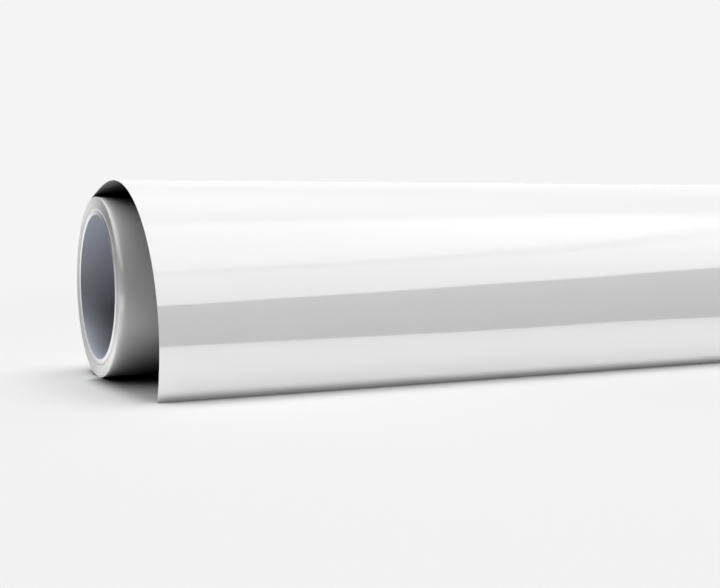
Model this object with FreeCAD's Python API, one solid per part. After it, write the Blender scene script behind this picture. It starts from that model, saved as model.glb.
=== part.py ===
import FreeCAD, Part
import math
import os

# Roll of sign vinyl with a loose leading sheet.
#
# Frame (mm): the origin is on the axis of the core's bore, halfway along the
# roll.  +X runs along the axis, +Z is up, and -Y is the front, where the loose
# sheet comes down from the top of the roll to the floor.
#
# The web is two plies bonded face to face: a white film with its adhesive
# coat outside, and a paper release liner inside.  It is wound on a paper core
# as a two-centre spiral: half turns whose centres alternate between two
# points a quarter of the pitch either side of the axis, on the departure line,
# so that neighbouring arcs share a tangent and every turn grows by one pitch.

# ---------------------------------------------------------------- dimensions
WIDTH = 610.0            # length of roll, core and sheet (24 inch stock)

# Core, from the bore outwards
BORE_R = 38.1            # 3 inch core
INNER_PLY_T = 0.45       # smooth bore paper
BOARD_T = 2.25           # spiral-wound board
OUTER_PLY_T = 0.30       # kraft cover paper
CORE_R = BORE_R + INNER_PLY_T + BOARD_T + OUTER_PLY_T

# Web
LINER_T = 0.135
FILM_T = 0.100           # 0.075 film and 0.025 adhesive coat
WEB_T = LINER_T + FILM_T
CLEARANCE = 0.01         # between turns
PITCH = WEB_T + CLEARANCE

# Wound pack
PACK_R = 47.80           # from the axis to the outside face at the departure line
CENTRE_OFFSET = PITCH / 4.0
OUTER_HALF_R = PACK_R - CENTRE_OFFSET   # radius of the outermost half turn
TURNS = 26               # whole turns between the core and the departure line
OUTER_TURNS = 2          # turns of the pack that are made as the outer wrap
DEPARTURE = math.radians(-13.0)   # where the sheet leaves, from the top; - is behind
WRAP_GAP = 0.30          # slit between the inner turns and the outer wrap

# Double-sided tape under the leading end
TAPE_T = 0.080
TAPE_LEN = 25.0          # along the core's surface
TAPE_ARCS = 8

# First stretch clear of the pack, still part of the outer wrap
LEAD_LEN = 10.0
LEAD_R = -658.0          # negative: bows the other way

# Loose sheet, in strips between hinge lines; each keeps the bend it has at rest
STRIP_LEN = 17.68        # pitch of the hinge lines along the sheet
# Radius of the outside face of each strip, from the lead to the last hinge line
STRIP_RADII = [314.2, 116.7, 81.3, 76.7, 81.9, 84.5, 77.6, 71.0, 70.3]
LAST_R = 73.0            # last strip, down to the floor
STRIP_GAP = 0.30         # slit along each hinge line
HALF_SLIT = STRIP_GAP / 2.0
STRIP_ARCS = 4           # short arcs that one strip's bend is made of

# Peeling flaps at the free end of the film
FLAPS = 3
FLAP_LEN = 8.0
FLAP_GAP = 0.20


# ------------------------------------------------------------------ geometry
class Stretch:
    """A circular stretch of the web's outside face.

    centre is (y, z).  heading is the angle of travel below the horizontal,
    going to -Y, at the start; it grows along the stretch if radius is
    positive.  length is measured along the outside face.
    """

    def __init__(self, centre, radius, heading, length):
        self.centre = centre
        self.radius = radius
        self.heading = heading
        self.length = length

    def heading_at(self, distance):
        return self.heading + distance / self.radius

    def at(self, distance, depth=0.0):
        """(y, z) at a distance along the stretch and a depth under its outside face."""
        heading = self.heading_at(distance)
        reach = self.radius - depth
        return (self.centre[0] - reach * math.sin(heading),
                self.centre[1] + reach * math.cos(heading))

    def next(self, radius, length):
        """The stretch that carries on from the end of this one with a common tangent."""
        centre = self.at(self.length, depth=radius)
        return Stretch(centre, radius, self.heading_at(self.length), length)

    def arcs(self, start, stop, depth, count):
        """Equal short arcs between two distances along the stretch, at one depth."""
        ends = [start + (stop - start) * i / count for i in range(count + 1)]
        edges = []
        for first, last in zip(ends[:-1], ends[1:]):
            points = [end_plane_point(self.at(distance, depth))
                      for distance in (first, 0.5 * (first + last), last)]
            edges.append(Part.Arc(*points).toShape())
        return edges


def end_plane_point(yz):
    """A (y, z) place on the -X end of the roll."""
    return FreeCAD.Vector(-WIDTH / 2.0, *yz)


def layer(spans, top, bottom, count=1):
    """Solid between two depths under the outside face.

    spans lists (stretch, start, stop) along the web; each is made of count arcs.
    """
    def across(stretch, distance, from_depth, to_depth):
        return Part.makeLine(end_plane_point(stretch.at(distance, from_depth)),
                             end_plane_point(stretch.at(distance, to_depth)))

    outer = [arc for stretch, start, stop in spans
             for arc in stretch.arcs(start, stop, top, count)]
    inner = [arc for stretch, start, stop in reversed(spans)
             for arc in stretch.arcs(stop, start, bottom, count)]
    first, first_start, _ = spans[0]
    last, _, last_stop = spans[-1]
    tip = across(last, last_stop, top, bottom)
    root = across(first, first_start, bottom, top)
    face = Part.Face(Part.Wire(outer + [tip] + inner + [root]))
    return face.extrude(FreeCAD.Vector(WIDTH, 0, 0))


def film(spans, count=1):
    return layer(spans, 0.0, FILM_T, count)


def liner(spans, count=1):
    return layer(spans, FILM_T, WEB_T, count)


def tube(inner_r, outer_r):
    axis = FreeCAD.Vector(1, 0, 0)
    base = end_plane_point((0, 0))
    return Part.makeCylinder(outer_r, WIDTH, base, axis).cut(
        Part.makeCylinder(inner_r, WIDTH, base, axis))


def save(shape, name):
    if shape.ShapeType == "Compound" and len(shape.Solids) == 1:
        shape = shape.Solids[0]
    if not shape.isValid() or not shape.Solids:
        raise RuntimeError(name + " is not a valid solid")
    if shape.Volume < 0:
        shape.reverse()
    shape.exportStep("parts/%s.step" % name)


# ------------------------------------------------------------ path of the web
def pack_half_turns():
    """Half turns of the wound pack, from the core out to the departure line."""
    def half_turn(i):
        """Half turn number i, counted inwards from the departure line."""
        radius = OUTER_HALF_R - i * PITCH / 2.0
        offset = CENTRE_OFFSET if i % 2 == 0 else -CENTRE_OFFSET
        centre = (-offset * math.sin(DEPARTURE), offset * math.cos(DEPARTURE))
        return Stretch(centre, radius, DEPARTURE - (i + 1) * math.pi, math.pi * radius)

    return [half_turn(i) for i in reversed(range(2 * TURNS))]


def loose_strips(lead):
    """Strips of the loose sheet, from the lead to the last hinge line."""
    strips = []
    previous = lead
    for radius in STRIP_RADII:
        previous = previous.next(radius, STRIP_LEN)
        strips.append(previous)
    return strips


def floor_strip(previous, floor_z):
    """The last strip, just long enough to bring its edge down to the floor."""
    strip = previous.next(LAST_R, 0.0)
    floor_heading = math.acos((floor_z - strip.centre[1]) / LAST_R)
    strip.length = (floor_heading - strip.heading) * LAST_R
    return strip


# -------------------------------------------------------------------- pieces
def save_core():
    inner_r = BORE_R
    for name, thickness in (("core_inner_ply", INNER_PLY_T),
                            ("core_board_tube", BOARD_T),
                            ("core_outer_ply", OUTER_PLY_T)):
        outer_r = inner_r + thickness
        save(tube(inner_r, outer_r), name)
        inner_r = outer_r


def save_start_tape(heading):
    """Tape between the core and the leading end of the liner."""
    radius = CORE_R + TAPE_T
    tape = Stretch((0.0, 0.0), radius, heading, TAPE_LEN * radius / CORE_R)
    save(layer([(tape, 0.0, tape.length)], 0.0, TAPE_T, TAPE_ARCS), "start_tape")


def save_inner_turns(halves):
    spans = [(half, 0.0, half.length) for half in halves[:-1]]
    spans.append((halves[-1], 0.0, halves[-1].length - WRAP_GAP))
    save(liner(spans), "wound_liner")
    save(film(spans), "wound_film")


def save_outer_wrap(halves, lead):
    spans = [(half, 0.0, half.length) for half in halves]
    spans.append((lead, 0.0, lead.length - HALF_SLIT))
    save(liner(spans), "outer_wrap_liner")
    save(film(spans), "outer_wrap_film")


def save_strip(strip, number):
    spans = [(strip, HALF_SLIT, strip.length - HALF_SLIT)]
    save(liner(spans, STRIP_ARCS), "tail_liner_%02d" % number)
    save(film(spans, STRIP_ARCS), "tail_film_%02d" % number)


def save_floor_strip(strip, number):
    """The last strip: one liner, and a film whose free end is cut into flaps."""
    save(liner([(strip, HALF_SLIT, strip.length)], 2 * STRIP_ARCS),
         "tail_liner_%02d" % number)
    half_gap = FLAP_GAP / 2.0
    flaps_start = strip.length - FLAPS * FLAP_LEN
    save(film([(strip, HALF_SLIT, flaps_start - half_gap)], STRIP_ARCS),
         "tail_film_%02d" % number)
    for i in range(FLAPS):
        start = flaps_start + i * FLAP_LEN + half_gap
        end_gap = half_gap if i < FLAPS - 1 else 0.0
        stop = flaps_start + (i + 1) * FLAP_LEN - end_gap
        save(film([(strip, start, stop)], STRIP_ARCS // 2), "peel_film_%d" % (i + 1))


# --------------------------------------------------------------------- build
os.makedirs("parts", exist_ok=True)

halves = pack_half_turns()
outermost = halves[-1]
lead = outermost.next(LEAD_R, LEAD_LEN)
strips = loose_strips(lead)
floor_z = outermost.centre[1] - outermost.radius   # lowest line of the pack
wrap_start = 2 * (TURNS - OUTER_TURNS)

save_core()
save_inner_turns(halves[:wrap_start])
save_outer_wrap(halves[wrap_start:], lead)
save_start_tape(halves[0].heading)
for number, strip in enumerate(strips, 1):
    save_strip(strip, number)
save_floor_strip(floor_strip(strips[-1], floor_z), len(strips) + 1)
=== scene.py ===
# A roll of vinyl film on a release liner, wound on a board core, with a loose sheet.
# The roll's axis lies along X through the origin. The sheet leaves it near the top, comes
# down in front (-Y) and ends on the floor, where the film peels off the liner.
# Shapes are worked out in mm; shaders, lights and the camera are in metres.
import math

import bpy
import numpy as np
from mathutils import Matrix, Vector


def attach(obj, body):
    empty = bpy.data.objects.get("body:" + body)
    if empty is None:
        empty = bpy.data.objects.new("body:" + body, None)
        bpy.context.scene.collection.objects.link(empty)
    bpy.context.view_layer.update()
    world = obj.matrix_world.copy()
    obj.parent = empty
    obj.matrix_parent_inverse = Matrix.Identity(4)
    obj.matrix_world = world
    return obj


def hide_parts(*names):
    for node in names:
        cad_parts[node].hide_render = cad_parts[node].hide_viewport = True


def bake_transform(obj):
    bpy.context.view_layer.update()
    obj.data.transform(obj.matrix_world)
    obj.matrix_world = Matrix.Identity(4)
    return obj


MM = 0.001
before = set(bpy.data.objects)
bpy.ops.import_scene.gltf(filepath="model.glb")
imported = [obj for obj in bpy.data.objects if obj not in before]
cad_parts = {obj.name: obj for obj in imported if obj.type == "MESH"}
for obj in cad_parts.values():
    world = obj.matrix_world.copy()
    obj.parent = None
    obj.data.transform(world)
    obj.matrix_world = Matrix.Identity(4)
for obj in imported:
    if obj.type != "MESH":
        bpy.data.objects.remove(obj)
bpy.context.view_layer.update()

# ----------------------------------------------------------- dimensions, mm
WIDTH = 610.0
HALF_WIDTH = WIDTH / 2
END_X = HALF_WIDTH * MM                 # the roll's end, in metres

BORE_R = 38.1
INNER_PLY, BOARD, OUTER_PLY = 0.45, 2.25, 0.30
CORE_R = BORE_R + INNER_PLY + BOARD + OUTER_PLY

LINER_T, FILM_T = 0.135, 0.100
WEB_T = LINER_T + FILM_T
PITCH = 0.245                           # from turn to turn
PACK_R = 47.80
TURNS, OUTER_TURNS = 26, 2
DEPART = math.radians(-13.0)            # where the sheet leaves; 0 is the top, + to the front

# Loose sheet: a lead, strips of equal length, a last bend down to the floor
LEAD_LEN, LEAD_R = 10.0, -658.0
STRIP_LEN = 17.68
STRIP_R = [314.2, 116.7, 81.3, 76.7, 81.9, 84.5, 77.6, 71.0, 70.3]
STRIPS = len(STRIP_R) + 1
LAST_R = 73.0
FLAP_LEN, FLAPS = 8.0, 3                # film that peels at the free edge
HINGE_RUNOUT = 2.0                      # bend of the last hinge beyond its line

SAMPLE = 0.05                           # spacing of the sampled centreline
SMOOTHING = 121                         # samples the bend is averaged over, a strip's third
INNER_STEPS, OUTER_STEPS = 60, 90       # stations in a half turn
CORE_SEGMENTS = 256
ENDS_ONLY = [-1, 1]                     # stations across the width, -1..1
ACROSS = np.linspace(-1, 1, 62)

# ----------------------------------------------------------- web centreline
# Points and directions are (y, z).
DEPART_OUT = np.array([-math.sin(DEPART), math.cos(DEPART)])
OUTSIDE_R = PACK_R - PITCH / 4
FLOOR_Z = (PITCH / 4) * DEPART_OUT[1] - OUTSIDE_R


def smooth(ramp):
    """Ease a ramp from 0 to 1 at both its ends."""
    ramp = np.clip(ramp, 0, 1)
    return ramp * ramp * (3 - 2 * ramp)


def half_turn(index, steps):
    """Outside face of a half turn (0 is the outermost): points, outward normals, angles."""
    radius = OUTSIDE_R - index * PITCH / 2
    centre = (1 if index % 2 == 0 else -1) * PITCH / 4 * DEPART_OUT
    angles = np.linspace(DEPART - (index + 1) * math.pi, DEPART - index * math.pi, steps + 1)
    normals = np.stack([-np.sin(angles), np.cos(angles)], 1)
    return centre + radius * normals, normals, angles


def pack_run(first, last, steps):
    """Half turns first..last (counted from the outside), joined from the core outwards."""
    runs = []
    for index in range(last, first - 1, -1):
        run = half_turn(index, steps)
        runs.append([part[1:] for part in run] if runs else run)
    return [np.concatenate(parts) for parts in zip(*runs)]


def arc_end(point, heading, length, curvature):
    """Place and heading at the end of an arc."""
    turned = heading + curvature * length
    move = [-(math.sin(turned) - math.sin(heading)), math.cos(turned) - math.cos(heading)]
    return point + np.array(move) / curvature, turned


def sheet_curve():
    """Loose sheet: lengths, y and z of its samples, and the lengths at the strips' joints."""
    start = DEPART_OUT * (OUTSIDE_R + PITCH / 4)
    curvatures = [1 / LEAD_R] + [1 / radius for radius in STRIP_R] + [1 / LAST_R]
    point, heading, knots = start, DEPART, [0.0]
    for length, curvature in zip([LEAD_LEN] + [STRIP_LEN] * len(STRIP_R), curvatures):
        point, heading = arc_end(point, heading, length, curvature)
        knots.append(knots[-1] + length)

    # the last bend is as long as it takes to reach the floor
    low, high = 10.0, 60.0
    for _ in range(60):
        middle = 0.5 * (low + high)
        if arc_end(point, heading, middle, curvatures[-1])[0][1] > FLOOR_Z:
            low = middle
        else:
            high = middle
    knots.append(knots[-1] + low)
    end, _ = arc_end(point, heading, low, curvatures[-1])

    # smooth bend: linear between strip middles, then averaged
    middles = [0.5 * (a + b) for a, b in zip(knots[:-1], knots[1:])]
    lengths = np.arange(0, knots[-1] + SAMPLE / 2, SAMPLE)
    bend = np.interp(lengths, middles, curvatures)
    bend = np.convolve(np.pad(bend, SMOOTHING // 2, mode="edge"),
                       np.ones(SMOOTHING) / SMOOTHING, mode="valid")
    headings = DEPART + np.concatenate([[0], np.cumsum((bend[1:] + bend[:-1]) / 2 * SAMPLE)])
    between = (headings[1:] + headings[:-1]) / 2
    y = start[0] + np.concatenate([[0], np.cumsum(-np.cos(between) * SAMPLE)])
    z = start[1] + np.concatenate([[0], np.cumsum(-np.sin(between) * SAMPLE)])

    # bring the free edge back to the end of the exact arcs
    share = (lengths / lengths[-1]) ** 2
    y += (end[0] - y[-1]) * share
    z += (end[1] - z[-1]) * share
    return lengths, y, z, np.array(knots)


CURVE_LENGTHS, CURVE_Y, CURVE_Z, KNOTS = sheet_curve()
SHEET_LEN = KNOTS[-1]


def sheet_at(lengths):
    """Points and outward normals of the sheet's outside face."""
    lengths = np.asarray(lengths, float)
    ahead = np.minimum(lengths + SAMPLE, SHEET_LEN)
    behind = np.maximum(lengths - SAMPLE, 0)
    y, z = (np.interp(lengths, CURVE_LENGTHS, curve) for curve in (CURVE_Y, CURVE_Z))
    run_y, run_z = (np.interp(ahead, CURVE_LENGTHS, curve)
                    - np.interp(behind, CURVE_LENGTHS, curve) for curve in (CURVE_Y, CURVE_Z))
    size = np.hypot(run_y, run_z)
    return np.stack([y, z], -1), np.stack([run_z / size, -(run_y / size)], -1)


# ------------------------------------------------------------ mesh builders
def add_mesh(name, vertices, faces, materials, face_materials, sharp=35):
    """A smooth shaded object from vertices in mm; sharp is the edge angle in degrees."""
    mesh = bpy.data.meshes.new(name)
    mesh.from_pydata((vertices * MM).tolist(), [], faces.tolist())
    for material in materials:
        mesh.materials.append(material)
    mesh.polygons.foreach_set("material_index", np.asarray(face_materials, np.int32))
    mesh.polygons.foreach_set("use_smooth", [True] * len(mesh.polygons))
    mesh.update()
    mesh.set_sharp_from_angle(angle=math.radians(sharp))
    made = bpy.data.objects.new(name, mesh)
    bpy.context.scene.collection.objects.link(made)
    return made


def web_layer(name, points, normals, outer, inner, across, materials,
              overhang=(0.0, 0.0), wave=np.zeros_like):
    """A closed sheet between two depths under the web's outside face.

    overhang is what it sticks out at the left (-X) and right ends, and wave gives the
    height added outwards at each x. Materials: outer face, inner face, cut edges.
    """
    rows, columns = len(points), len(across)
    left = (np.full(rows, -HALF_WIDTH) - overhang[0])[:, None]
    right = (np.full(rows, HALF_WIDTH) + overhang[1])[:, None]
    share = (np.asarray(across) + 1) / 2
    x = left * (1 - share) + right * share
    height = wave(x)

    def grid(depth):
        out = height - depth
        return np.stack([x, points[:, 0:1] + normals[:, 0:1] * out,
                         points[:, 1:2] + normals[:, 1:2] * out], -1).reshape(-1, 3)

    vertices = np.vstack([grid(outer), grid(inner)])
    under = rows * columns              # from an outer vertex to the inner one below it
    i, j = np.meshgrid(np.arange(rows - 1), np.arange(columns - 1), indexing="ij")
    corner = (i * columns + j).ravel()
    left_row = np.arange(rows - 1) * columns
    right_row = left_row + columns - 1
    first = np.arange(columns - 1)
    last = (rows - 1) * columns + first
    outer_faces = np.stack([corner, corner + 1, corner + 1 + columns, corner + columns], 1)
    inner_faces = np.stack([corner, corner + columns, corner + 1 + columns, corner + 1], 1) + under
    edge_faces = np.vstack([
        np.stack([left_row, left_row + columns, left_row + columns + under, left_row + under], 1),
        np.stack([right_row, right_row + under, right_row + columns + under,
                  right_row + columns], 1),
        np.stack([first, first + under, first + 1 + under, first + 1], 1),
        np.stack([last, last + 1, last + 1 + under, last + under], 1)])
    faces = np.vstack([outer_faces, inner_faces, edge_faces])
    face_materials = np.repeat([0, 1, 2], [len(outer_faces), len(inner_faces), len(edge_faces)])

    # the outer face has to look outwards
    quad = vertices[faces[0]]
    facing = np.cross(quad[1] - quad[0], quad[2] - quad[1])
    if facing[1] * normals[0, 0] + facing[2] * normals[0, 1] < 0:
        faces = faces[:, ::-1]
    return add_mesh(name, vertices, faces, materials, face_materials)


def turned_tube(name, profile, materials, edge_materials):
    """Closed profile [(x, radius), ...] turned round the axis; one material per profile edge."""
    angles = np.linspace(0, 2 * math.pi, CORE_SEGMENTS, endpoint=False)
    profile = np.array(profile)
    count = len(profile)
    vertices = np.stack([np.repeat(profile[:, 0], CORE_SEGMENTS),
                         np.outer(profile[:, 1], np.cos(angles)).ravel(),
                         np.outer(profile[:, 1], np.sin(angles)).ravel()], 1)
    faces = []
    for edge in range(count):
        here = edge * CORE_SEGMENTS
        there = (edge + 1) % count * CORE_SEGMENTS
        for i in range(CORE_SEGMENTS):
            j = (i + 1) % CORE_SEGMENTS
            faces.append((here + i, there + i, there + j, here + j))
    faces = np.array(faces)

    # outward winding by the signed volume
    quad = vertices[faces]
    volume = sum(np.einsum("ij,ij->i", quad[:, 0], np.cross(quad[:, k], quad[:, k + 1])).sum()
                 for k in (1, 2))
    if volume < 0:
        faces = faces[:, ::-1]
    return add_mesh(name, vertices, faces, materials,
                    np.repeat(edge_materials, CORE_SEGMENTS), sharp=50)


def ride_roll(piece, replaced):
    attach(piece, "roll")
    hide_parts(replaced)


# ------------------------------------------------------------- shader graph
WHITE = (1, 1, 1, 1)


class Graph:
    """Short ways to add shader nodes. A value is a socket to link or a number to set."""

    def __init__(self, tree):
        self.tree = tree
        tree.nodes.clear()

    def node(self, kind, **settings):
        made = self.tree.nodes.new("ShaderNode" + kind)
        for key, value in settings.items():
            setattr(made, key, value)
        return made

    def feed(self, socket, value):
        if isinstance(value, bpy.types.NodeSocket):
            self.tree.links.new(value, socket)
        else:
            socket.default_value = value

    def math(self, operation, *values):
        made = self.node("Math", operation=operation)
        for socket, value in zip(made.inputs, values):
            self.feed(socket, value)
        return made.outputs[0]

    def add(self, a, b):
        return self.math("ADD", a, b)

    def subtract(self, a, b):
        return self.math("SUBTRACT", a, b)

    def multiply(self, a, b):
        return self.math("MULTIPLY", a, b)

    def multiply_add(self, value, factor, offset):
        return self.math("MULTIPLY_ADD", value, factor, offset)

    def negate(self, value):
        return self.multiply(value, -1.0)

    def invert(self, value):
        """1 - value."""
        return self.subtract(1.0, value)

    def decay(self, distance, factor):
        """exp(distance * factor)."""
        return self.math("EXPONENT", self.multiply(distance, factor))

    def from_end(self, x):
        """Distance inwards from the nearer end of the roll."""
        return self.subtract(END_X, self.math("ABSOLUTE", x))

    def ease(self, value, low, high, at_low=0.0, at_high=1.0):
        """Smooth step from at_low to at_high as the value runs from low to high."""
        made = self.node("MapRange", interpolation_type="SMOOTHSTEP")
        names = ("Value", "From Min", "From Max", "To Min", "To Max")
        for key, number in zip(names, (value, low, high, at_low, at_high)):
            self.feed(made.inputs[key], number)
        return made.outputs[0]

    def blend(self, start, end, share):
        return self.multiply_add(self.subtract(end, start), share, start)

    def constant(self, number):
        made = self.node("Value")
        made.outputs[0].default_value = number
        return made.outputs[0]

    def split(self, vector):
        made = self.node("SeparateXYZ")
        self.feed(made.inputs[0], vector)
        return made.outputs

    def vector_math(self, operation, *vectors):
        made = self.node("VectorMath", operation=operation)
        for socket, vector in zip(made.inputs, vectors):
            self.feed(socket, vector)
        return made

    def scaled(self, colour, factor):
        made = self.vector_math("SCALE", colour)
        self.feed(made.inputs["Scale"], factor)
        return made.outputs[0]

    def mix(self, kind, share, first, second):
        made = self.node("Mix", data_type="RGBA", blend_type=kind)
        for index, value in ((0, share), (6, first), (7, second)):
            self.feed(made.inputs[index], value)
        return made.outputs[2]

    def ramp(self, value, stops):
        """Stops are (position, grey or colour)."""
        made = self.node("ValToRGB")
        elements = made.color_ramp.elements
        while len(elements) < len(stops):
            elements.new(0.5)
        for element, (position, colour) in zip(elements, stops):
            element.position = position
            rgb = colour if isinstance(colour, tuple) else (colour,) * 3
            element.color = (*rgb, 1)
        self.feed(made.inputs[0], value)
        return made.outputs[0]

    def occlusion(self, reach, stops):
        made = self.node("AmbientOcclusion", samples=8)
        made.inputs["Distance"].default_value = reach
        return self.ramp(made.outputs["AO"], stops)

    def noise(self, vector, scale, detail, rough, stretch=None):
        if stretch is not None:
            mapping = self.node("Mapping")
            mapping.inputs["Scale"].default_value = stretch
            self.feed(mapping.inputs["Vector"], vector)
            vector = mapping.outputs[0]
        made = self.node("TexNoise")
        for key, value in (("Scale", scale), ("Detail", detail), ("Roughness", rough),
                           ("Vector", vector)):
            self.feed(made.inputs[key], value)
        return made.outputs["Fac"]

    def bump(self, height, strength, distance):
        made = self.node("Bump")
        for key, value in (("Strength", strength), ("Distance", distance), ("Height", height)):
            self.feed(made.inputs[key], value)
        return made.outputs[0]


def new_material(name):
    """A material with its graph and its Principled surface."""
    material = bpy.data.materials.new(name)
    material.use_nodes = True
    graph = Graph(material.node_tree)
    output = graph.node("OutputMaterial")
    surface = graph.node("BsdfPrincipled")
    graph.feed(output.inputs[0], surface.outputs[0])
    return material, graph, surface


# ---------------------------------------------------------------- materials
FILM_COLOUR, FILM_ROUGHNESS, FILM_SPECULAR = (0.830, 0.830, 0.830), 0.065, 1.0
# under the loose sheet: a darker colour, which is painted shade from the sheet over the film, and
# a rougher, weaker gloss
SHADED_FILM_COLOUR, DULL_ROUGHNESS, DULL_SPECULAR = (0.52, 0.52, 0.522), 0.14, 0.6
CLOUD_DARKENING = 0.992
ROUGHNESS_SPREAD = 0.02                 # along the web
GLOW_FADE = 0.012                       # metres over which the floor's glow fades inwards
CURL_FADE, CURL_TILT = 1.3 * MM, 0.9    # curl of the slit edges: its width and its lean


def floor_glow(graph, place, shade):
    """Near its ends, the underside of the roll is painted lighter, standing in for light from the
    floor.
    """
    x, _, z = graph.split(place)
    inwards = graph.from_end(x)
    glow = graph.multiply(graph.ease(z, -0.036, -0.012, at_low=1.0, at_high=0.0),
                          graph.decay(inwards, -1 / GLOW_FADE))
    return graph.mix("MIX", graph.multiply(glow, 0.8), shade, WHITE)


def curled_normal(graph, place, under_sheet, normal):
    """Slit edges of the outer turns curl in very slightly towards both ends."""
    x = graph.split(place)[0]
    curl = graph.decay(graph.from_end(x), -1.0 / CURL_FADE)
    lean = graph.multiply(graph.math("SIGN", x), curl)
    tilt = graph.node("CombineXYZ")
    graph.feed(tilt.inputs[0], graph.multiply(graph.multiply(lean, CURL_TILT), under_sheet))
    tilted = graph.vector_math("ADD", normal, tilt.outputs[0])
    return graph.vector_math("NORMALIZE", tilted.outputs[0]).outputs[0]


def film_material(name, reach, shading, on_pack=False):
    """Calendered film: a faint grain along the web and slow cloudiness of the gloss.

    reach and shading are the occlusion's distance and ramp; on the pack, the part under
    the loose sheet gets a darker colour, which is painted shade, and a duller gloss, and the slit
    edges curl.
    """
    material, graph, surface = new_material(name)
    place = graph.node("TexCoord").outputs["Object"]
    fine = graph.noise(place, scale=900.0, detail=3.0, rough=0.6)
    run = graph.noise(place, scale=60.0, detail=2.0, rough=0.5, stretch=(0.25, 1.0, 1.0))
    cloud = graph.noise(place, scale=14.0, detail=2.0, rough=0.5)

    def clouded(colour):
        darker = tuple(channel * CLOUD_DARKENING for channel in colour)
        return graph.ramp(cloud, [(0.3, darker), (0.7, colour)])

    tint = clouded(FILM_COLOUR)
    shade = graph.occlusion(reach, shading)
    roughness = graph.multiply_add(run, ROUGHNESS_SPREAD, FILM_ROUGHNESS - 0.01)
    surface.inputs["Specular IOR Level"].default_value = FILM_SPECULAR
    height = graph.multiply_add(fine, 0.15, graph.multiply(run, 0.85))
    normal = graph.bump(height, strength=0.06, distance=0.00003)
    if on_pack:
        under_sheet = graph.ease(graph.split(place)[1], -0.014, 0.0, at_low=1.0, at_high=0.0)
        # the darker colour under the loose sheet is painted shade
        tint = graph.mix("MIX", under_sheet, tint, clouded(SHADED_FILM_COLOUR))
        shade = floor_glow(graph, place, shade)
        roughness = graph.multiply_add(under_sheet, DULL_ROUGHNESS - FILM_ROUGHNESS, roughness)
        graph.feed(surface.inputs["Specular IOR Level"],
                   graph.multiply_add(under_sheet, DULL_SPECULAR - FILM_SPECULAR, FILM_SPECULAR))
        normal = curled_normal(graph, place, under_sheet, normal)
    graph.feed(surface.inputs["Base Color"], graph.mix("MULTIPLY", 1.0, tint, shade))
    graph.feed(surface.inputs["Roughness"], roughness)
    surface.inputs["IOR"].default_value = 1.5
    graph.feed(surface.inputs["Normal"], normal)
    return material


def cut_sheen(graph, place, amount):
    """Painted sheen of the slit ends, multiplied into the colour: two bright and two dull quarters
    round the axis, as on any face made of fine concentric edges, and a little more light towards
    the floor, also painted."""
    _, y, z = graph.split(place)
    angle = graph.math("ARCTAN2", graph.negate(y), z)      # 0 at the top, + to the front

    def wave(phase):
        return graph.math("COSINE", phase)

    quarters = wave(graph.multiply_add(angle, 2.0, math.radians(-285)))
    low = wave(graph.add(angle, math.radians(-205)))
    facing = graph.math("MAXIMUM", wave(graph.add(angle, math.radians(-28))), 0.0)
    dip = graph.math("POWER", facing, 6.0)                 # a narrow dull sector near the top
    sheen = graph.multiply_add(quarters, 0.45 * amount,
                               graph.multiply_add(low, 0.25 * amount, 1.0))
    sheen = graph.multiply_add(dip, -0.20 * amount, sheen)
    return graph.multiply(sheen, 0.64)                     # overall level


def painted_bore_light_and_shade(graph, place):
    """Painted shade and light in the bore: darker inwards along the lower half, lighter along the
    top.
    """
    x, _, z = graph.split(place)
    inwards = graph.from_end(x)
    upper = graph.multiply_add(graph.ease(z, -0.006, 0.014), 0.34, 0.66)
    bottom = graph.ease(z, -0.028, -0.012, at_low=1.0, at_high=0.0)
    level = graph.multiply_add(bottom, 0.40, upper)
    lower = graph.ease(z, -0.024, 0.0, at_low=1.0, at_high=0.0)
    rate = graph.multiply(lower, -82.0)                    # darkening per metre inwards
    fall = graph.math("EXPONENT", graph.multiply(rate, graph.math("MINIMUM", inwards, 0.024)))
    top = graph.ease(z, 0.005, 0.035)
    return graph.multiply(graph.multiply(level, fall), graph.multiply_add(top, 0.42, 1.06))


def paper_material(name, light, dark, roughness, grain=700.0, specular=0.3, reach=0.02,
                   shading=((0.0, 0.3), (1.0, 1.0)), sheen=0.0, bore_shade=False):
    """Mottled matt surface; grain is the fine noise's scale, reach the occlusion's distance."""
    material, graph, surface = new_material(name)
    place = graph.node("TexCoord").outputs["Object"]
    fibres = graph.noise(place, grain, detail=4.0, rough=0.65, stretch=(1, 1, 1))
    blotches = graph.noise(place, scale=45.0, detail=3.0, rough=0.55)
    mottle = graph.multiply_add(fibres, 0.6, graph.multiply(blotches, 0.4))
    colour = graph.ramp(mottle, [(0.3, dark), (0.7, light)])
    colour = graph.mix("MULTIPLY", 1.0, colour, graph.occlusion(reach, shading))
    # the cut ends' sheen is painted into the colour
    if sheen:
        colour = graph.scaled(colour, cut_sheen(graph, place, sheen))
    # painted shade and light in the bore
    if bore_shade:
        colour = graph.scaled(colour, painted_bore_light_and_shade(graph, place))
    graph.feed(surface.inputs["Base Color"], colour)
    surface.inputs["Roughness"].default_value = roughness
    surface.inputs["Specular IOR Level"].default_value = specular
    graph.feed(surface.inputs["Normal"], graph.bump(fibres, strength=0.25, distance=0.00006))
    return material


film_face = film_material("film_face", reach=0.011,
                          shading=[(0.0, 0.52), (0.35, 0.84), (0.58, 1.0)])
film_pack = film_material("film_pack", reach=0.060,
                          shading=[(0.0, 0.0), (0.15, 0.12), (0.60, 1.0)], on_pack=True)
film_back = paper_material("film_adhesive_side", light=(0.70, 0.70, 0.69),
                           dark=(0.66, 0.66, 0.65), roughness=0.25, grain=400.0, specular=0.5)
liner_face = paper_material("liner_release_side", light=(0.86, 0.86, 0.85),
                            dark=(0.82, 0.82, 0.80), roughness=0.35, grain=500.0, specular=0.5)
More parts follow.
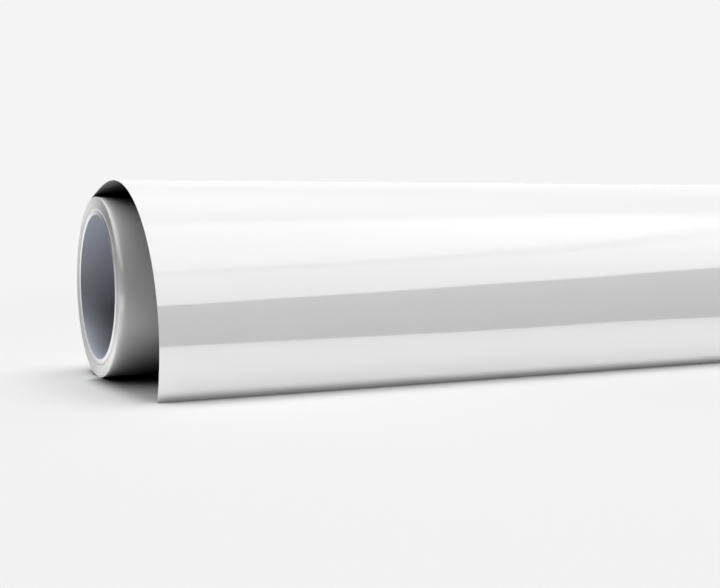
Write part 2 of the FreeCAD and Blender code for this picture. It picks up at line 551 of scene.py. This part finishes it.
# the liner's back is given a dark grey: painted shade for the underside of the sheet, which lies
# in shadow
shaded_liner_back = paper_material("shaded_liner_back", light=(0.42, 0.42, 0.42), dark=(0.38, 0.38, 0.38),
                            roughness=0.6, grain=650.0, reach=0.06,
                            shading=((0.0, 0.0), (0.30, 0.12), (0.9, 1.0)))
film_edge = paper_material("film_cut_edge", light=(0.84, 0.84, 0.85), dark=(0.78, 0.78, 0.80),
                           roughness=0.45, grain=1500.0, sheen=1.0)
liner_edge = paper_material("liner_cut_edge", light=(0.82, 0.82, 0.82),
                            dark=(0.75, 0.75, 0.76), roughness=0.8, grain=1500.0, sheen=1.0)
# the bore's colour is painted darker inwards along the lower half and lighter along the top:
# painted shade and light
core_bore = paper_material("core_bore_paper", light=(0.355, 0.375, 0.43),
                           dark=(0.325, 0.345, 0.395), roughness=0.55, grain=380.0, reach=0.08,
                           shading=((0.0, 0.30), (0.55, 1.0)), bore_shade=True)
core_end = paper_material("core_board_end", light=(0.74, 0.74, 0.745),
                          dark=(0.66, 0.66, 0.665), roughness=0.85, grain=900.0, sheen=1.0)
core_rim = paper_material("core_inner_rim", light=(0.86, 0.87, 0.89), dark=(0.82, 0.83, 0.85),
                          roughness=0.7, grain=900.0, sheen=0.7)
core_cover = paper_material("core_cover_paper", light=(0.72, 0.71, 0.70),
                            dark=(0.64, 0.63, 0.62), roughness=0.8, grain=600.0)

# outer face, inner face, cut edges
FILM = [film_face, film_back, film_edge]
FILM_PACK = [film_pack, film_back, film_edge]
LINER = [liner_face, shaded_liner_back, liner_edge]


# --------------------------------------------------------------------- core
def tube_profile(inner_r, outer_r, half, inner_edge, outer_edge):
    """Cut tube with small worn edges of the given radii, from the bore's left end round."""
    quarter = [share * math.pi / 2 for share in (0.0, 0.4, 1.0)]
    reach = half - max(inner_edge, 0.05)

    def inner_corner(side, a):
        return (side * (half - inner_edge + inner_edge * math.sin(a)),
                inner_r + inner_edge * (1 - math.cos(a)))

    def outer_corner(side, a):
        return (side * (half - outer_edge + outer_edge * math.cos(a)),
                outer_r - outer_edge + outer_edge * math.sin(a))

    return ([(x, inner_r) for x in np.linspace(-reach, reach, 9)]
            + [inner_corner(1, a) for a in quarter[1:]]
            + [outer_corner(1, a) for a in quarter]
            + [outer_corner(-1, math.pi / 2 - a) for a in quarter]
            + [inner_corner(-1, a) for a in quarter[:0:-1]])


def core_piece(name, replaced, inner_r, outer_r, worn, materials, inset=0.0):
    """A tube of the core. Materials: bore wall, ends, outside. worn: inner, outer edge radii."""
    profile = tube_profile(inner_r, outer_r, HALF_WIDTH - inset, *worn)
    edge_materials = []
    for (x, radius), (next_x, _) in zip(profile, profile[1:] + profile[:1]):
        if abs(x - next_x) <= 20:       # only the walls have edges this long
            edge_materials.append(1)
        else:
            edge_materials.append(0 if radius < inner_r + 0.01 else 2)
    ride_roll(turned_tube(name, profile, materials, edge_materials), replaced)


core_piece("core_inner_ply_tube", "core_inner_ply",
           BORE_R, BORE_R + INNER_PLY, worn=(0.10, 0.02),
           materials=[core_bore, core_rim, core_rim])
core_piece("core_board_wound_tube", "core_board_tube",
           BORE_R + INNER_PLY, BORE_R + INNER_PLY + BOARD, worn=(0.02, 0.02),
           materials=[core_end] * 3, inset=0.05)
core_piece("core_cover_ply_tube", "core_outer_ply",
           CORE_R - OUTER_PLY, CORE_R, worn=(0.02, 0.05),
           materials=[core_cover] * 3, inset=0.02)

tape_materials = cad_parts["start_tape"].data.materials
tape_materials.clear()
tape_materials.append(paper_material(
    "start_tape_film", light=(0.82, 0.83, 0.80), dark=(0.76, 0.77, 0.74),
    roughness=0.35, grain=300.0, specular=0.5))

# --------------------------------------------------------------------- pack
LEFT_SEED, RIGHT_SEED = 5, 9
LINER_INSET = -0.02                     # the liner's ends against the film's


def end_offsets(angles, seed):
    """Each turn sits a little in or out of line, as a slit and rewound roll does: slow
    drift over many turns, a fine scatter, and a ripple round each turn."""
    random = np.random.RandomState(seed)
    turns = (DEPART - angles) / (2 * math.pi)              # 0 at the outside
    marks = np.arange(-1, TURNS + 3)
    drift = np.cumsum(random.normal(0, 0.035, len(marks)))
    drift -= drift.mean()
    scatter = random.normal(0, 0.045, len(marks))
    offsets = np.interp(turns, marks, drift + scatter)
    round_turn = 2 * math.pi * turns
    offsets += (0.02 * np.sin(round_turn + random.uniform(0, 6))
                + 0.012 * np.sin(round_turn * 3.0 + 1.0))
    return np.clip(offsets - 0.05, -0.35, 0.2)


def both_ends(angles, inset):
    return [end_offsets(angles, seed) + inset for seed in (LEFT_SEED, RIGHT_SEED)]


def build_inner_turns():
    points, normals, angles = pack_run(2 * OUTER_TURNS, 2 * TURNS - 1, INNER_STEPS)
    for name, replaced, slot, outer, inner, materials, inset in (
            ("wound_liner_turns", "wound_liner", "release_liner",
             FILM_T, WEB_T, LINER, LINER_INSET),
            ("wound_film_turns", "wound_film", "vinyl_film", 0.0, FILM_T, FILM_PACK, 0.0)):
        piece = web_layer(name, points, normals, outer, inner, ENDS_ONLY, materials,
                          overhang=both_ends(angles, inset))
        ride_roll(piece, replaced)


LEAD_MID = LEAD_LEN / 2


def build_outer_wrap():
    """The outer turns, running on into the lead of the loose sheet."""
    points, normals, angles = pack_run(0, 2 * OUTER_TURNS - 1, OUTER_STEPS)
    lead = np.concatenate([np.arange(0.5, LEAD_MID - 0.15, 0.5), [LEAD_MID - 0.1, LEAD_MID]])
    lead_points, lead_normals = sheet_at(lead)
    points = np.vstack([points, lead_points])
    normals = np.vstack([normals, lead_normals])
    angles = np.concatenate([angles, DEPART + lead / PACK_R])

    wave_fade = np.clip((DEPART - angles) / 0.35, 0, 1)[:, None]
    # the lead's ends come into line with the straight edges of the loose sheet
    end_fade = 1 - smooth((angles - DEPART + 0.5) / 0.5)
    # the film is in two lengths: up to the bottom line, and from there to the sheet
    bottom = int(np.argmin(np.abs(angles + math.pi)))
    count = len(angles)
    for name, replaced, slot, outer, inner, materials, inset, first, stop in (
            ("outer_wrap_film_turns", "outer_wrap_film", "vinyl_film",
             0.0, FILM_T, FILM_PACK, 0.0, 0, bottom + 1),
            ("outer_wrap_film_last_half", "outer_wrap_film", "vinyl_film",
             0.0, FILM_T, FILM, 0.0, bottom, count),
            ("outer_wrap_liner_turns", "outer_wrap_liner", "release_liner",
             FILM_T, WEB_T, LINER, LINER_INSET, 0, count)):
        part = slice(first, stop)

        def wave(x):
            angle = angles[part, None]
            height = (0.010 * np.sin(x / 43.0 + 3 * angle)
                      + 0.007 * np.sin(x / 19.0 - 5 * angle + 1.0))
            return height * wave_fade[part] * 0.5

        overhang = [(offsets * end_fade)[part] for offsets in both_ends(angles, inset)]
        piece = web_layer(name, points[part], normals[part], outer, inner, ACROSS, materials,
                          overhang=overhang, wave=wave)
        ride_roll(piece, replaced)


build_inner_turns()
build_outer_wrap()

# -------------------------------------------------------------- loose sheet
# height, then x and length along the sheet per radian, phase; all but the phase in mm
SHEET_WAVES = [(0.055, 61.0, 33.0, 0.6),
               (0.040, 37.0, -41.0, 2.1),
               (0.015, 17.0, 21.0, 4.0)]


def waviness(x, length):
    """Slow unevenness of the hanging sheet, nothing at the roll and growing along it."""
    growth = smooth((length - 14.0) / 60.0)
    edge = np.clip((SHEET_LEN - length) / 20.0, 0, 1)      # the free edge stays on the floor
    return growth * edge * sum(height * np.sin(x / x_scale + length / length_scale + phase)
                               for height, x_scale, length_scale, phase in SHEET_WAVES)


def sheet_piece(name, start, end, film, replaced=None):
    """Film or liner between two lengths along the sheet, with close stations at its ends."""
    spacing, margin = 0.9, 0.08
    count = max(3, int(math.ceil((end - start) / spacing)))
    lengths = np.unique(np.concatenate([np.linspace(start, end, count + 1),
                                        [start + margin, end - margin]]))
    points, normals = sheet_at(lengths)
    outer, inner, materials = (0.0, FILM_T, FILM) if film else (FILM_T, WEB_T, LINER)
    piece = web_layer(name, points, normals, outer, inner, ACROSS, materials,
                      wave=lambda x: waviness(x, lengths[:, None]))
    if replaced:
        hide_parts(replaced)
    return piece


LAST_HINGE_END = KNOTS[STRIPS] + HINGE_RUNOUT
LAST_TAIL = "tail_%02d" % STRIPS


def build_strips():
    """Pieces from strip middle to strip middle, each bending over one hinge."""
    middles = [0.5 * (KNOTS[i] + KNOTS[i + 1]) for i in range(1, STRIPS)]
    cuts = [LEAD_MID] + middles + [LAST_HINGE_END]
    for k in range(STRIPS):
        start, end = cuts[k], cuts[k + 1]
        for layer in ("film", "liner"):
            piece = sheet_piece("sheet_%s_%02d" % (layer, k + 1), start, end, layer == "film",
                                "tail_%s_%02d" % (layer, k + 1))
            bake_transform(piece)


def build_free_edge():
    """The last liner, and the film that peels off it from the edge back."""
    liner = sheet_piece("sheet_liner_end", LAST_HINGE_END, SHEET_LEN, False,
                        "tail_liner_%02d" % STRIPS)
    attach(liner, LAST_TAIL)
    first_flap = SHEET_LEN - FLAPS * FLAP_LEN
    cuts = [LAST_HINGE_END] + [first_flap + FLAP_LEN * (i + 0.5) for i in range(FLAPS)]
    chain = [LAST_TAIL] + ["peel_%d" % (i + 1) for i in range(FLAPS)]
    for i in range(FLAPS):
        piece = sheet_piece("peeling_film_%d" % (i + 1), cuts[i], cuts[i + 1], True,
                            "peel_film_%d" % (i + 1))
        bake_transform(piece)
    edge = sheet_piece("peeling_film_edge", cuts[-1], SHEET_LEN, True)
    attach(edge, chain[-1])


build_strips()
build_free_edge()

# -------------------------------------------------------------------- floor
BACKDROP = 0.905                        # brightness the camera sees behind everything
FLOOR_ALBEDO = 0.80
FLOOR_GLOSS, NEAR_GLOSS = 2.54, 1.38    # floor as the gloss shows it; gain next to the sheet
FLOOR_SIZE = 40.0                       # metres
FLOOR_GAP = 0.03                        # mm below the web
# occlusion ramps: in front of the sheet, at its foot, round and under the roll
NEAR_STOPS = [(0.0, 0.10), (0.35, 0.50), (0.70, 0.97), (1.0, 1.0)]
FOOT_STOPS = [(0.0, 0.05), (0.40, 0.40), (0.60, 0.72), (0.85, 0.96), (1.0, 1.0)]
WIDE_STOPS = [(0.0, 0.0), (0.30, 0.10), (0.60, 0.60), (0.95, 1.0)]


def contact_shade(graph, x, y, forward):
    """Contact shading: short in front of the sheet, wider round and under the roll."""
    near = graph.occlusion(0.030, NEAR_STOPS)
    foot = graph.occlusion(0.030, FOOT_STOPS)
    near = graph.mix("MIX", graph.ease(forward, 0.104, 0.112), near, foot)
    # a faint darkening ahead of the sheet, fading forwards and towards both ends
    faint = graph.multiply(graph.ease(forward, 0.100, 0.116),
                           graph.ease(forward, 0.14, 0.34, at_low=0.040, at_high=0.0))
    faint = graph.multiply(faint, graph.ease(x, 0.10, 0.30, at_low=1.0, at_high=0.0))
    faint = graph.multiply(faint, graph.ease(x, -0.30, -0.05))
    near = graph.scaled(near, graph.invert(faint))

    # darker still between the roll and the sheet
    wide = graph.occlusion(0.09, WIDE_STOPS)
    by_roll = graph.multiply(graph.invert(graph.ease(graph.negate(y), 0.015, 0.110)),
                             graph.invert(graph.ease(y, 0.0, 0.035)))
    wide = graph.scaled(wide, graph.invert(graph.multiply(by_roll, 0.85)))

    # the wide shading holds behind the sheet's foot, before the roll's back, between the ends
    behind = graph.ease(y, -0.118, -0.100)
    before = graph.invert(graph.ease(y, 0.0, 0.035))
    under = graph.invert(graph.ease(graph.negate(y), -0.005, 0.015))
    inside = graph.ease(graph.multiply_add(under, -0.010, graph.from_end(x)), -0.014, 0.002)
    return graph.mix("MIX", graph.multiply(graph.multiply(behind, before), inside), near, wide)


def floor_material():
    material, graph, paint = new_material("floor_paint")
    base = paint.inputs["Base Color"]
    base.default_value = (FLOOR_ALBEDO, FLOOR_ALBEDO, FLOOR_ALBEDO, 1)
    paint.inputs["Roughness"].default_value = 1.0
    paint.inputs["Specular IOR Level"].default_value = 0.0
    place = graph.node("NewGeometry").outputs["Position"]
    x, y, _ = graph.split(place)
    view_x, _, view_z = graph.split(graph.node("NewGeometry").outputs["Incoming"])
    forward = graph.negate(y)
    shade = contact_shade(graph, x, y, forward)
    graph.feed(base, graph.mix("MULTIPLY", 1.0, tuple(base.default_value), shade))

    def emission(strength):
        made = graph.node("Emission")
        made.inputs["Color"].default_value = WHITE
        graph.feed(made.inputs["Strength"], strength)
        return made.outputs[0]

    def mix_shader(share, first, second):
        made = graph.node("MixShader")
        for socket, value in zip(made.inputs, (share, first, second)):
            graph.feed(socket, value)
        return made.outputs[0]

    # the open floor runs into the backdrop without a line
    far = graph.ease(graph.vector_math("LENGTH", place).outputs["Value"], 0.55, 1.3)
    seen = mix_shader(far, paint.outputs[0], emission(BACKDROP))
    # lit floor in front, as the gloss of the sheet shows it
    ahead = graph.ease(graph.negate(y), 0.1115, 0.118)
    along = graph.ease(graph.negate(view_x), 0.50, 0.63, at_low=0.0, at_high=0.038)
    steep = graph.ease(graph.add(view_z, along), 0.113, 0.127)
    lit = graph.multiply(ahead, graph.node("LightPath").outputs["Is Glossy Ray"])
    gloss = graph.ease(forward, 0.115, 0.30,
                       at_low=FLOOR_GLOSS * NEAR_GLOSS, at_high=FLOOR_GLOSS)
    shown = emission(graph.multiply(steep, gloss))
    graph.feed(graph.tree.nodes["Material Output"].inputs[0], mix_shader(lit, seen, shown))
    material.cycles.emission_sampling = "NONE"
    return material


def build_floor():
    """One triangle, so that no inner edge of the floor crosses the picture."""
    mesh = bpy.data.meshes.new("floor")
    size = FLOOR_SIZE
    mesh.from_pydata([(-3 * size, -size, 0), (3 * size, -size, 0), (0, 5 * size, 0)],
                     [], [(0, 1, 2)])
    floor = bpy.data.objects.new("floor", mesh)
    floor.location = (0, 0, (FLOOR_Z - FLOOR_GAP) * MM)
    bpy.context.scene.collection.objects.link(floor)
    mesh.materials.append(floor_material())


build_floor()

# -------------------------------------------------------------------- world
LIGHT_TOP, LIGHT_FILL, LIGHT_LEFT = 2.95, 0.24, 1.3


def world_light(graph, x, elevation):
    """What lights the object: a soft overhead bank, a little fill, a broad panel at the left."""
    top = graph.multiply(graph.ease(elevation, 52.0, 66.0), LIGHT_TOP)
    light = graph.add(top, LIGHT_FILL)
    left = graph.multiply(graph.ease(graph.negate(x), 0.55, 0.95),
                          graph.invert(graph.ease(elevation, 30.0, 45.0)))
    return graph.multiply_add(left, LIGHT_LEFT, light)


def world_reflection(graph, azimuth, elevation):
    """What the gloss shows: a bright box to the front with a dim streak, a softer back."""
    # the box's lower edge rises by 0.20 per degree to the side, up to 60 degrees
    aside = graph.math("MINIMUM", graph.math("ABSOLUTE", azimuth), 60.0)
    edge = graph.add(23.5, graph.multiply(graph.subtract(aside, 19.0), 0.20))
    in_box = graph.ease(graph.subtract(elevation, edge), -0.4, 0.4)
    streak = graph.multiply(graph.ease(elevation, 44.5, 46.5),
                            graph.invert(graph.ease(elevation, 47.5, 50.0)))
    lower = graph.subtract(2.75, graph.multiply(streak, 0.5))
    upper = graph.blend(graph.constant(2.98), graph.constant(2.50),
                        graph.ease(elevation, 55.0, 74.0))
    box = graph.blend(lower, upper, graph.ease(elevation, 49.0, 51.0))
    front = graph.blend(graph.constant(0.0), box, in_box)
    back = graph.multiply_add(graph.ease(elevation, 38.0, 62.0), 0.60, 1.08)
    to_back = graph.ease(graph.math("ABSOLUTE", azimuth), 88.0, 112.0)
    return graph.blend(front, back, to_back)


def build_world():
    world = bpy.data.worlds.new("studio")
    bpy.context.scene.world = world
    world.use_nodes = True
    graph = Graph(world.node_tree)
    output = graph.node("OutputWorld")
    x, y, z = graph.split(graph.node("TexCoord").outputs["Generated"])
    # in degrees; azimuth is 0 to the front, + to +X
    elevation = graph.math("DIVIDE", graph.math("ARCSINE", z), math.pi / 2)
    azimuth = graph.math("DIVIDE", graph.math("ARCTAN2", x, graph.negate(y)), math.pi)
    azimuth = graph.multiply(azimuth, 180.0)
    elevation = graph.multiply(elevation, 90.0)
    rays = graph.node("LightPath").outputs
    strength = graph.blend(world_light(graph, x, elevation),
                           world_reflection(graph, azimuth, elevation), rays["Is Glossy Ray"])
    strength = graph.blend(strength, graph.constant(BACKDROP), rays["Is Camera Ray"])
    background = graph.node("Background")
    background.inputs["Color"].default_value = WHITE
    graph.feed(background.inputs["Strength"], strength)
    graph.feed(output.inputs[0], background.outputs[0])


build_world()

# ------------------------------------------------------------------- panels
# Soft panels at both ends, as at the right (+X) end. Columns: name, distance, direction from
# the end's centre, aim from the end's centre, size, watts, objects lit.
PANELS = [
    ("end_panel_", 1.1, (0.93, 0.12, 0.35), (0, 0, 0), 0.45, 5.0,
     ["core_inner_ply_tube", "outer_wrap_film_turns"]),
    ("cut_panel_", 1.1, (0.93, 0.12, 0.35), (0, 0, 0), 0.45, 7.8,
     ["core_board_wound_tube", "core_cover_ply_tube", "wound_liner_turns", "wound_film_turns",
      "outer_wrap_liner_turns"]),
    ("bounce_panel_", 1.0, (0.050, -0.055, -0.038), (-0.020, -0.030, -0.025), 0.025, 0.035,
     ["outer_wrap_film_turns"]),
    ("edge_panel_", 1.2, (0.72, 0.28, 0.62), (0, 0, 0), 0.5, 13.0, ["outer_wrap_film_turns"]),
]


def add_panel(name, place, aim, size, power, receivers):
    light = bpy.data.lights.new(name, "AREA")
    light.shape = "SQUARE"
    light.size = size
    light.energy = power
    panel = bpy.data.objects.new(name, light)
    bpy.context.scene.collection.objects.link(panel)
    panel.location = place
    panel.rotation_euler = (aim - place).to_track_quat("-Z", "Y").to_euler()
    panel.visible_camera = False
    panel.visible_glossy = False
    lit = bpy.data.collections.new(name + "_receivers")
    for receiver in receivers:
        lit.objects.link(bpy.data.objects[receiver])
    panel.light_linking.receiver_collection = lit


for side, tag in ((-1, "left"), (1, "right")):
    centre = Vector((side * END_X, 0.0, 0.0))
    for name, distance, (x, y, z), (aim_x, aim_y, aim_z), size, power, receivers in PANELS:
        add_panel(name + tag, centre + distance * Vector((side * x, y, z)),
                  centre + Vector((side * aim_x, aim_y, aim_z)), size, power, receivers)

# ------------------------------------------------------------------- camera
CAMERA_PLACE = Vector((-455.06, -637.57, 29.37))           # mm
CAMERA_HEADING = math.radians(64.507)                      # from +X towards +Y
CAMERA_DIP = math.radians(3.076)                           # below the horizon
CAMERA_ROLL = math.radians(-0.559)


def build_camera():
    camera = bpy.data.cameras.new("camera")
    camera.sensor_width = 36.0
    camera.lens = 60.66
    camera.clip_start, camera.clip_end = 0.01, 200.0
    holder = bpy.data.objects.new("camera", camera)
    bpy.context.scene.collection.objects.link(holder)
    cosine, sine = math.cos(CAMERA_HEADING), math.sin(CAMERA_HEADING)
    level = math.cos(CAMERA_DIP)
    ahead = Vector((cosine * level, sine * level, -math.sin(CAMERA_DIP)))
    right = Vector((sine, -cosine, 0.0))
    up = right.cross(ahead)
    cosine, sine = math.cos(CAMERA_ROLL), math.sin(CAMERA_ROLL)
    right, up = right * cosine + up * sine, -right * sine + up * cosine
    turn = Matrix((right, up, -ahead)).transposed().to_4x4()
    holder.matrix_world = Matrix.Translation(CAMERA_PLACE * MM) @ turn
    bpy.context.scene.camera = holder


view = bpy.context.scene.view_settings
view.view_transform = "Standard"
view.look = "None"
view.exposure = 0.0
view.gamma = 1.0
build_camera()
